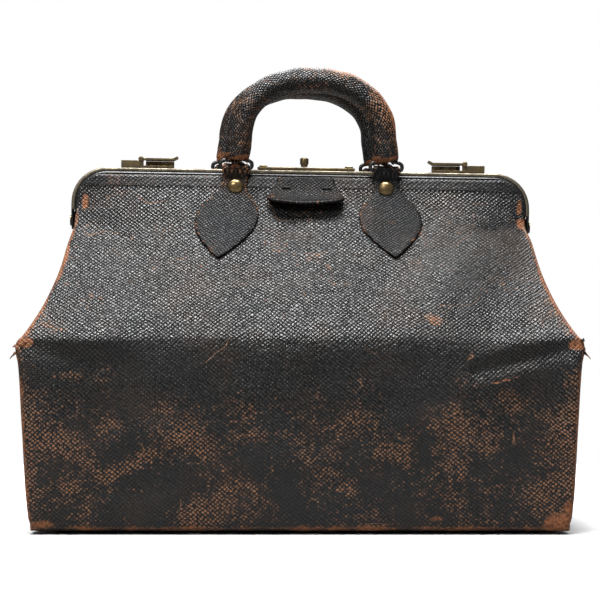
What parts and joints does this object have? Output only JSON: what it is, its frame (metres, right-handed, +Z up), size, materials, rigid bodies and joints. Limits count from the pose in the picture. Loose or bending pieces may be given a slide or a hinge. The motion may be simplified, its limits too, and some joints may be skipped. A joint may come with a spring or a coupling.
{
  "type": "doctor bag",
  "caption": "Antique leather doctor bag: soft body on a flat base, hinged steel mouth frame, hooped handles on wire rings, lever latches and a slide lock.",
  "frame": {"origin": "middle of the base, on the surface that the bag stands on", "axes": "+X along the bag to its right end, -Y out of its front, +Z up"},
  "size_m": [0.422, 0.208, 0.3507],
  "materials": {
    "body_leather": "worn black grained leather",
    "tab_leather": "black grained leather with stitched edges",
    "handle_leather": "black leather worn through to tan",
    "brass": "dull aged brass",
    "black_steel": "worn black japanned steel",
    "board": "raw pressed board",
    "lining": "matt cotton twill"
  },
  "bodies": {
    "bag": {"bottom_leather": "body_leather", "base_board": "board", "front_panel": "body_leather", "rear_panel": "body_leather", "lining": "lining", "left_gusset": "body_leather", "right_gusset": "body_leather", "left_end_board": "board", "right_end_board": "board", "front_left_foot": "brass", "front_right_foot": "brass", "rear_left_foot": "brass", "rear_right_foot": "brass", "left_frame_pivot": "black_steel", "right_frame_pivot": "black_steel"},
    "front_frame": {"front_frame_bar": "black_steel", "front_frame_leather": "body_leather", "front_left_leaf_tab": "tab_leather", "front_right_leaf_tab": "tab_leather", "front_left_tab_rivet": "brass", "front_right_tab_rivet": "brass", "pull_tab": "tab_leather", "lock_plate": "brass", "lock_case": "brass", "left_lock_rivet": "brass", "right_lock_rivet": "brass", "left_latch_base": "brass", "right_latch_base": "brass", "left_latch_pin": "brass", "right_latch_pin": "brass"},
    "rear_frame": {"rear_frame_bar": "black_steel", "rear_frame_leather": "body_leather", "rear_left_leaf_tab": "tab_leather", "rear_right_leaf_tab": "tab_leather", "rear_left_tab_rivet": "brass", "rear_right_tab_rivet": "brass", "lock_staple": "brass", "left_latch_strike": "brass", "right_latch_strike": "brass"},
    "front_handle": {"front_handle_cover": "handle_leather", "front_handle_core": "board", "front_left_ring": "black_steel", "front_right_ring": "black_steel"},
    "rear_handle": {"rear_handle_cover": "handle_leather", "rear_handle_core": "board", "rear_left_ring": "black_steel", "rear_right_ring": "black_steel"},
    "left_latch": {"left_latch_lever": "brass"},
    "right_latch": {"right_latch_lever": "brass"},
    "lock_slide": {"lock_knob": "brass", "lock_bolt": "brass"}
  },
  "joints": [
    {"name": "front_frame_hinge", "type": "hinge", "parent": "bag", "child": "front_frame", "pos_m": [0, 0, 0.231], "axis": [0.9999, 0, -0.0166], "range_deg": [0, 40], "deforming": ["front_left_leaf_tab", "front_right_leaf_tab"]},
    {"name": "rear_frame_hinge", "type": "hinge", "parent": "bag", "child": "rear_frame", "pos_m": [0, 0, 0.231], "axis": [-0.9999, 0, 0.0166], "range_deg": [0, 40], "deforming": ["rear_left_leaf_tab", "rear_right_leaf_tab"]},
    {"name": "front_handle_hinge", "type": "hinge", "parent": "front_frame", "child": "front_handle", "pos_m": [0.00849, -0.015, 0.27247], "axis": [0.9999, 0, -0.0166], "range_deg": [0, 90]},
    {"name": "rear_handle_hinge", "type": "hinge", "parent": "rear_frame", "child": "rear_handle", "pos_m": [0.00169, 0.015, 0.27258], "axis": [-0.9999, 0, 0.0166], "range_deg": [0, 90]},
    {"name": "left_latch_hinge", "type": "hinge", "parent": "front_frame", "child": "left_latch", "pos_m": [-0.12219, -0.0045, 0.28073], "axis": [0, -1, 0], "range_deg": [0, 100]},
    {"name": "right_latch_hinge", "type": "hinge", "parent": "front_frame", "child": "right_latch", "pos_m": [0.12677, -0.0045, 0.2766], "axis": [0, 1, 0], "range_deg": [0, 100]},
    {"name": "lock_slide_joint", "type": "slide", "parent": "front_frame", "child": "lock_slide", "axis": [0.9999, 0, -0.0166], "range_m": [0, 0.005]}
  ]
}
